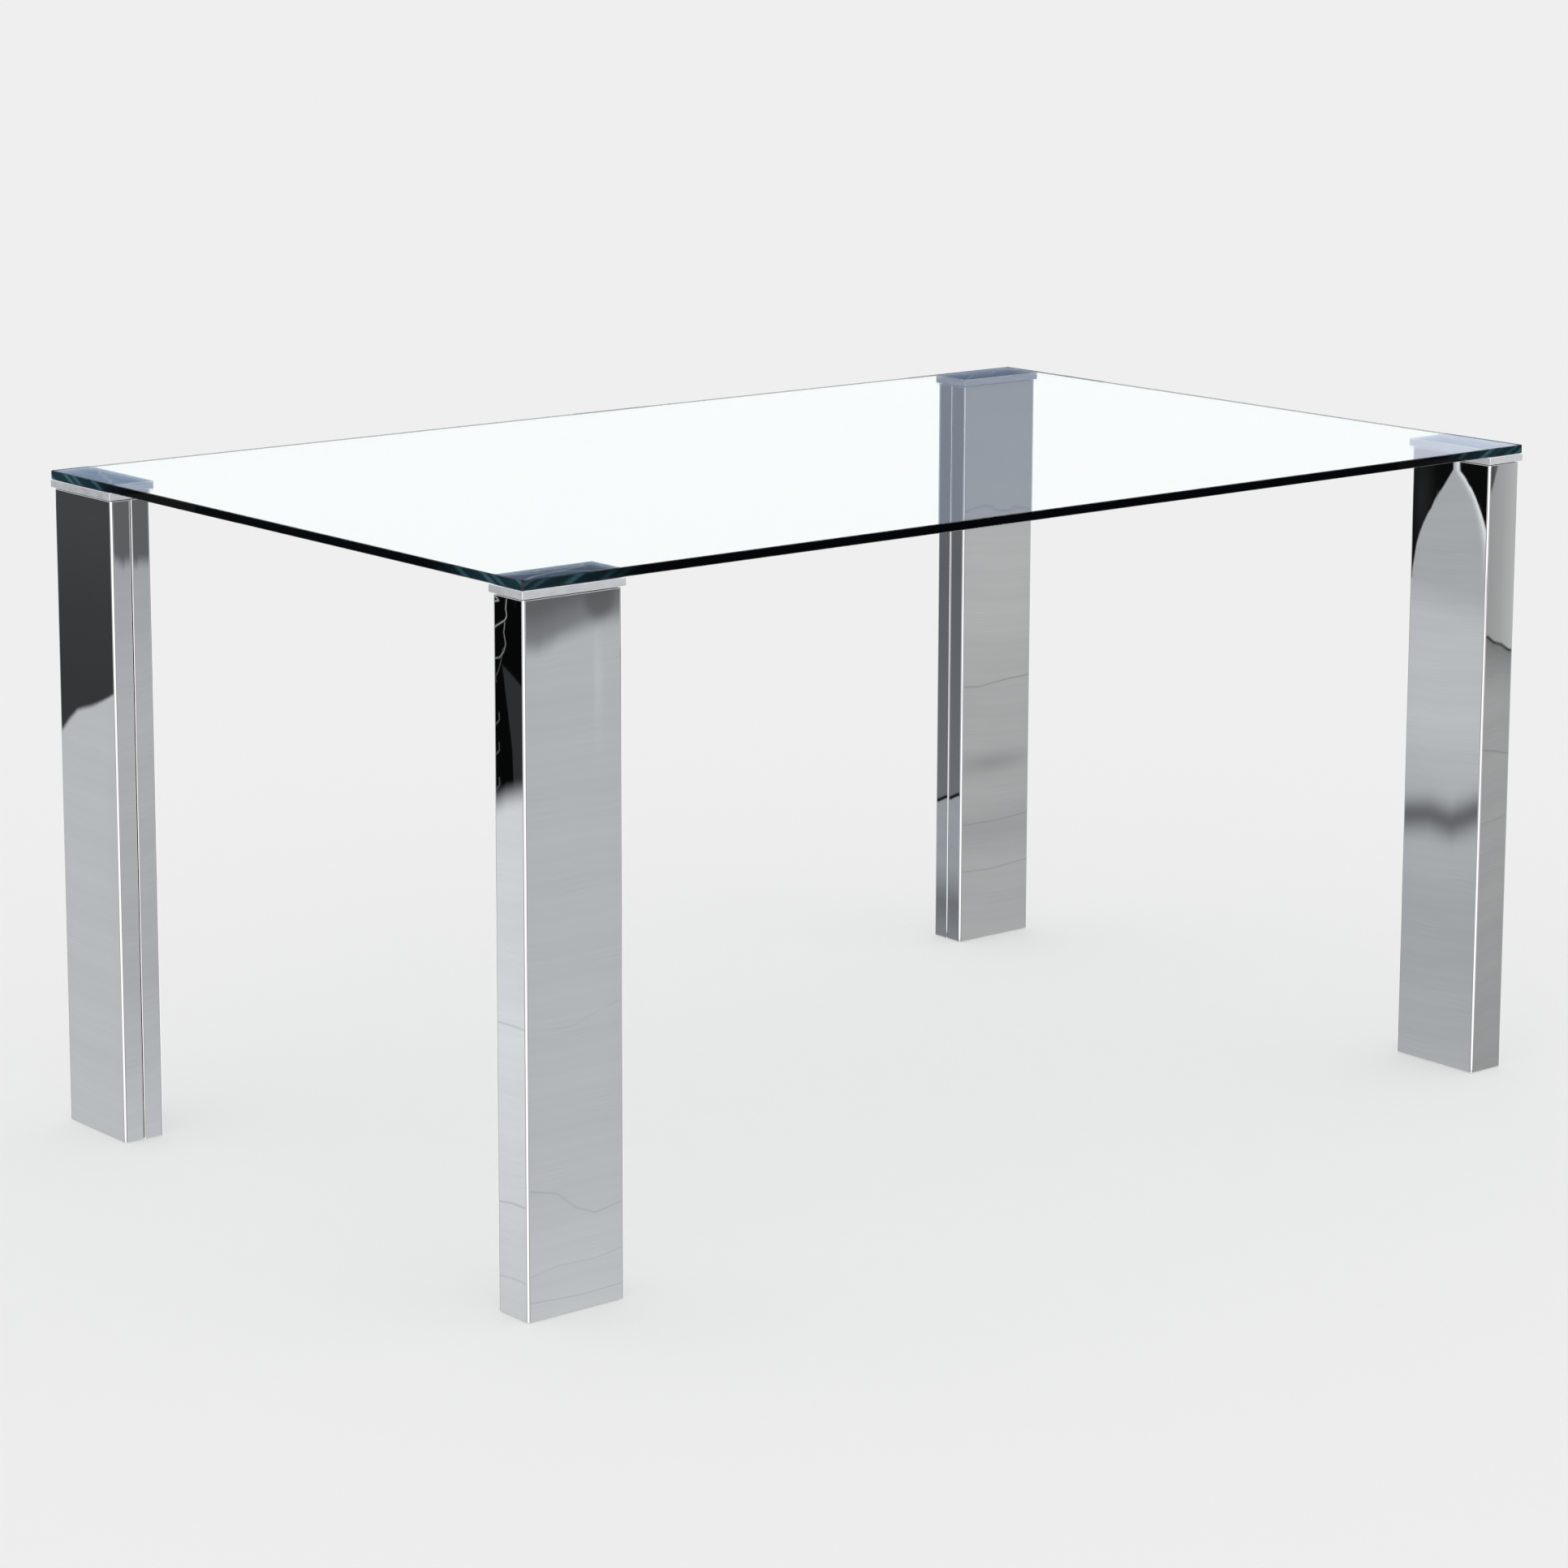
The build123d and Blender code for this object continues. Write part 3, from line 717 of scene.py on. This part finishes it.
def grey_felt():
    """Needled wool felt under the pads."""
    felt = Shader("grey_felt")
    fibres = felt.noise(1500, detail=6, distortion=1.5)
    flecks = felt.noise(400, detail=3)
    colour = felt.ramp(felt.remap(flecks, 0.3, 0.7, 0.0, 1.0), ((0.0, grey(0.16)), (1.0, grey(0.34))))
    wool = felt.node("BsdfPrincipled", {
        "Base Color": colour, "Roughness": felt.remap(fibres, 0.3, 0.7, 0.85, 1.0), "Sheen Weight": 0.4,
        "Normal": felt.bump(fibres, 0.25 * MM)})
    return felt.surface(wool)


GLASS_INDEX = 1.5
GLASS_TINT = (0.42, 0.70, 0.74, 1)
GLASS_DENSITY = 5.0


def table_glass():
    """Float glass: clear through its thickness and dark blue-green along it, with faint wiping marks."""
    glass = Shader("table_glass")
    wiped = glass.noise(35, detail=6, stretch=(1, 3, 1), distortion=0.8)
    body = glass.node("BsdfPrincipled", {
        "Base Color": (0.985, 0.995, 0.992, 1), "Transmission Weight": 1.0, "IOR": GLASS_INDEX,
        "Roughness": glass.remap(wiped, 0.5, 0.8, 0.0, 0.012)})
    open_side = glass.node("BsdfTransparent", {"Color": (0.93, 0.97, 0.965, 1)})
    lamp = glass.node("LightPath").outputs["Is Shadow Ray"]
    tinted = glass.node("VolumeAbsorption", {"Color": GLASS_TINT, "Density": GLASS_DENSITY})
    glass.tree.links.new(tinted.outputs[0], glass.output.inputs["Volume"])
    return glass.surface(glass.node("MixShader", {0: lamp, 1: body.outputs[0], 2: open_side.outputs[0]}))


def clear_adhesive():
    """Bond film: clear, with pale crossed strokes along the bead that was pressed flat, and pale dots; their
    paleness is a painted highlight.
    """
    film = Shader("clear_adhesive")
    parts = film.node("SeparateXYZ", {0: film.node("TexCoord").outputs["Generated"]}).outputs
    sway = film.remap(film.noise(22, detail=1), 0.3, 0.7, -0.16, 0.16)
    smear = film.noise(160, detail=3, distortion=1.0)

    def stroke(ends, half_width, strength):
        """A stroke along one diagonal of the film."""
        off = film.maths("ABSOLUTE", film.maths("ADD", ends, sway), 0.0)
        return film.remap(off, 0.0, half_width, strength, 0.0)

    rising = stroke(film.maths("SUBTRACT", parts[0], parts[1]), 0.07, 1.0)
    falling = stroke(film.maths("SUBTRACT", film.maths("ADD", parts[0], parts[1]), 1.0), 0.05, 0.8)
    smeared = film.remap(smear, 0.3, 0.6, 0.6, 1.0)
    strokes = film.maths("MULTIPLY", film.maths("MAXIMUM", rising, falling), smeared)
    cells = film.node("TexVoronoi", {"Vector": film.place(), "Scale": 30.0}).outputs["Distance"]
    glint_dots = film.remap(cells, 0.09, 0.13, 1.0, 0.0)
    # Painted highlights: the strokes and dots are a near-white matt film, standing in for glints.
    pale_painted_highlight = film.node("BsdfPrincipled", {"Base Color": (0.97, 0.98, 0.99, 1), "Roughness": 0.25})
    clear = film.node("BsdfTransparent", {"Color": (0.93, 0.96, 0.98, 1)})
    mask = film.maths("MAXIMUM", strokes, glint_dots)
    return film.surface(film.node("MixShader", {0: mask, 1: clear.outputs[0], 2: pale_painted_highlight.outputs[0]}))


def dress(material, *names):
    """Gives CAD nodes a material."""
    for name in names:
        node = nodes[name]
        node.data.materials.clear()
        node.data.materials.append(material)


def each(*stems):
    """The names of these pieces on all four legs."""
    return [f"{stem}_{side}" for stem in stems for side in SIDES]


# ---------------------------------------------------------------- steel skins

SKIN = 0.8 * MM
BEND_RADIUS = 2.5 * MM
LIP_RADIUS = 1.2 * MM
LIP_DEPTH = 9 * MM
SEAM_GAP = 1.0 * MM
RIM_RADIUS = 0.35 * MM
COLUMN_STEP = 5 * MM
RING_STEP = 6 * MM
BEND_SUPPORT = 0.5 * MM
WAVE_MIDDLE = 0.6
EDGE_LEAN = 2.0
BEND_STEPS = 8
LIP_STEPS = 5
RIM_SUPPORT = 0.5 * MM
RIM_ANGLES = (0, 0.52, 1.05, 1.57)
SHARP_ANGLE = 50
CROWN_REACH = 28 * MM
CROWN = 0.26 * MM
BROAD_WAVE = 0.07 * MM
FINE_WAVE = 0.015 * MM
BROAD_WAVES = 11
BROAD_RISE = 6
FINE_WAVES = 34
FINE_RISE = 19


def arc(centre_u, centre_v, radius, start, steps):
    """A quarter turn, anticlockwise from a start angle in degrees: (u, v, share of the crown)."""
    spots = []
    for step in range(steps + 1):
        angle = math.radians(start + 90 * step / steps)
        spots.append((centre_u + radius * math.cos(angle), centre_v + radius * math.sin(angle), 0.0))
    return spots


def crown(place, length):
    """How far a run of sheet stands out at a place along it, as a share of a broad face's full crown."""
    reach = min(CROWN_REACH, length / 2)
    room = np.clip(np.minimum(place, length - place), 0, reach)
    return (reach / CROWN_REACH) ** 2 * np.sin(math.pi / 2 * room / reach)


def crown_tilt(place, width):
    """How far the sheet's normal leans aside at a place across a leg face."""
    length = width - 2 * BEND_RADIUS
    inside = np.clip(place - BEND_RADIUS, MM, length - MM)
    slope = (crown(inside + MM, length) - crown(inside - MM, length)) / (2 * MM)
    beyond = 1 + EDGE_LEAN * np.abs(place - BEND_RADIUS - inside) / width
    return slope * (CROWN + BROAD_WAVE * WAVE_MIDDLE) * beyond


def run(start, end):
    """Columns between two bends, closer together beside them, with their share of the crown."""
    start, end = Vector(start), Vector(end)
    length = (end - start).length
    count = max(2, round(length / COLUMN_STEP))
    places = [BEND_SUPPORT, *[length * i / count for i in range(1, count)], length - BEND_SUPPORT]
    spots = []
    for place in places:
        spot = start.lerp(end, place / length)
        spots.append((spot.x, spot.y, float(crown(place, length))))
    return spots


def skin_outline(wide, narrow, depth):
    """The folded sheet's outline from one lip round to the other, at a depth below its outer face.

    The seam is in the middle of the +U face. wide and narrow are the leg's half sizes.
    """
    u, v = wide - depth, narrow - depth
    bend = BEND_RADIUS - depth
    lip = max(LIP_RADIUS - depth, 0.01 * MM)
    edge = SEAM_GAP / 2 + depth
    tuck = wide - LIP_DEPTH
    half = [(tuck, edge, 0.0), ((tuck + u) / 2, edge, 0.0)]
    half += arc(u - lip, edge + lip, lip, -90, LIP_STEPS)
    half += run((u, edge + lip), (u, v - bend))
    half += arc(u - bend, v - bend, bend, 0, BEND_STEPS)
    half += run((u - bend, v), (-(u - bend), v))
    half += arc(-(u - bend), v - bend, bend, 90, BEND_STEPS)
    middle = run((-u, v - bend), (-u, -(v - bend)))
    other = [(spot[0], -spot[1], spot[2]) for spot in reversed(half)]
    return half + middle + other


def outward(outline, index):
    """The direction square to the outline at one of its points."""
    before, after = outline[index - 1], outline[(index + 1) % len(outline)]
    return Vector((after[1] - before[1], before[0] - after[0])).normalized()


def bulge(spot, share):
    """How far the sheet stands off its nominal face at a place: its crown, and broad and fine waves in it.

    BROAD_WAVES and FINE_WAVES are how many waves a metre holds across the leg. BROAD_RISE and FINE_RISE are
    how many it holds up the leg.
    """
    broad = noise.noise(Vector((spot.x * BROAD_WAVES + 3.1, spot.y * BROAD_WAVES - 1.7, spot.z * BROAD_RISE)))
    fine = noise.noise(Vector((spot.x * FINE_WAVES, spot.y * FINE_WAVES + 5.3, spot.z * FINE_RISE)))
    return share * (CROWN + BROAD_WAVE * (WAVE_MIDDLE + broad) + FINE_WAVE * fine)


def add_skin(side, material):
    """One leg's sheet: full thickness, rolled rims, turned-in lips, and the faint waves of polished sheet."""
    low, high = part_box("leg_shell_" + side)
    centre = (low + high) / 2
    size = high - low
    wide, narrow = max(size.x, size.y) / 2, min(size.x, size.y) / 2
    turn = Matrix.Rotation(math.pi / 2 * SIDES.index(side), 3, "Z")
    outer, inner = skin_outline(wide, narrow, 0.0), skin_outline(wide, narrow, SKIN)
    normals = [outward(outer, i) for i in range(len(outer))]
    rim = [(RIM_RADIUS * (1 - math.sin(a)), RIM_RADIUS * (1 - math.cos(a))) for a in RIM_ANGLES]
    count = round(size.z / RING_STEP)
    span = size.z - 2 * RIM_RADIUS
    levels = [(low.z + rise, inset) for inset, rise in rim]
    levels.append((low.z + RIM_RADIUS + RIM_SUPPORT, 0.0))
    levels += [(low.z + RIM_RADIUS + span * i / count, 0.0) for i in range(1, count)]
    levels.append((high.z - RIM_RADIUS - RIM_SUPPORT, 0.0))
    levels += [(high.z - rise, inset) for inset, rise in reversed(rim)]
    shape = bmesh.new()
    rings = []
    for level, inset in levels:
        ring = []
        for (u, v, share), normal in zip(outer, normals):
            spot = turn @ Vector((u, v, 0)) + Vector((centre.x, centre.y, level))
            out = bulge(spot, share) - inset
            push = turn @ Vector((normal.x, normal.y, 0)) * out
            ring.append(shape.verts.new(spot + push))
        for u, v, share in reversed(inner):
            spot = turn @ Vector((u, v, 0)) + Vector((centre.x, centre.y, level))
            ring.append(shape.verts.new(spot))
        rings.append(ring)
    total = len(rings[0])
    for lower, upper in zip(rings, rings[1:]):
        for i in range(total):
            j = (i + 1) % total
            shape.faces.new((lower[i], lower[j], upper[j], upper[i]))
    for ring, flip in ((rings[0], True), (rings[-1], False)):
        for i in range(len(outer) - 1):
            quad = [ring[i], ring[i + 1], ring[total - 2 - i], ring[total - 1 - i]]
            shape.faces.new(reversed(quad) if flip else quad)
    bmesh.ops.recalc_face_normals(shape, faces=shape.faces)
    mesh = bpy.data.meshes.new("leg_skin_" + side)
    shape.to_mesh(mesh)
    shape.free()
    mesh.shade_smooth()
    mesh.set_sharp_from_angle(angle=math.radians(SHARP_ANGLE))
    mesh.materials.append(material)
    skin = new_object("leg_skin_" + side, mesh)
    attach(skin, "table")
    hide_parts("leg_shell_" + side)


# ---------------------------------------------------------------- bond films

FILM_INSET = 0.9 * MM
FILM_SLACK = 0.1 * MM
FILM_CORNER = 3.0 * MM
FILM_WOBBLE = 0.5 * MM
FILM_WAVES = 90
FILM_EDGE = 1.003
FILM_STEPS = 6
FILM_SIDE_STEPS = 14
FILM_SEED_STEP = 3.0


def film_outline(wide, narrow, seed):
    """The edge of a squeezed-out film: a rounded rectangle that creeps in and out a little."""
    spots = []
    for turn, (ahead, beside) in enumerate(((wide, narrow), (narrow, wide), (wide, narrow), (narrow, wide))):
        for i in range(FILM_SIDE_STEPS):
            along = -beside + FILM_CORNER + 2 * (beside - FILM_CORNER) * i / FILM_SIDE_STEPS
            spots.append((turn, ahead, along))
        for i in range(FILM_STEPS):
            angle = math.pi / 2 * i / FILM_STEPS
            spots.append((turn, ahead - FILM_CORNER * (1 - math.cos(angle)),
                          beside - FILM_CORNER * (1 - math.sin(angle))))
    outline = []
    for turn, out, along in spots:
        place = Matrix.Rotation(math.pi / 2 * turn, 2) @ Vector((out, along))
        creep = noise.noise(Vector((place.x * FILM_WAVES, place.y * FILM_WAVES, seed)))
        outline.append(place - place.normalized() * FILM_WOBBLE * (0.5 + creep))
    return outline


def add_film(side, material):
    """The clear bond between one plate and the glass."""
    low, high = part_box("bond_pad_" + side)
    centre = (low + high) / 2
    half = (high - low) / 2
    seed = SIDES.index(side) * FILM_SEED_STEP
    outline = film_outline(half.x - FILM_INSET, half.y - FILM_INSET, seed)
    shape = bmesh.new()
    rings = []
    for level, inset in ((low.z + FILM_SLACK, 1.0), (centre.z, FILM_EDGE), (high.z - FILM_SLACK, 1.0)):
        places = [(centre.x + spot.x * inset, centre.y + spot.y * inset, level) for spot in outline]
        rings.append([shape.verts.new(place) for place in places])
    for lower, upper in zip(rings, rings[1:]):
        for i in range(len(outline)):
            j = (i + 1) % len(outline)
            shape.faces.new((lower[i], lower[j], upper[j], upper[i]))
    shape.faces.new(reversed(rings[0]))
    shape.faces.new(rings[-1])
    bmesh.ops.recalc_face_normals(shape, faces=shape.faces)
    mesh = bpy.data.meshes.new("bond_film_" + side)
    shape.to_mesh(mesh)
    shape.free()
    mesh.materials.append(material)
    film = new_object("bond_film_" + side, mesh)
    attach(film, "table")
    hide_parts("bond_pad_" + side)


# ---------------------------------------------------------------- build

add_camera()
add_world()
add_floor()
add_mirror_lanes()
add_edge_cards()
add_leg_shades()

steel = polished_steel()
for side in SIDES:
    add_skin(side, steel)
dress(satin_steel(), *each("top_plate"))
dress(zinc_steel(), "tie_rods", "rod_nuts", "rod_washers", "locating_pins", "foot_screws",
      *each("head_plate", "foot_bush", "glide_stem"))
dress(core_board(), *each("leg_core"))
dress(moulded("black_rubber", grey(0.02), grey(0.035), 0.6, 0.8, 1200, 0.03 * MM), *each("leg_gasket"))
dress(moulded("black_plastic", grey(0.022), grey(0.045), 0.35, 0.55, 1800, 0.02 * MM),
      *each("foot_block", "glide_pad"))
dress(grey_felt(), *each("glide_sole"))
dress(table_glass(), "glass_top")
bond = clear_adhesive()
for side in SIDES:
    add_film(side, bond)
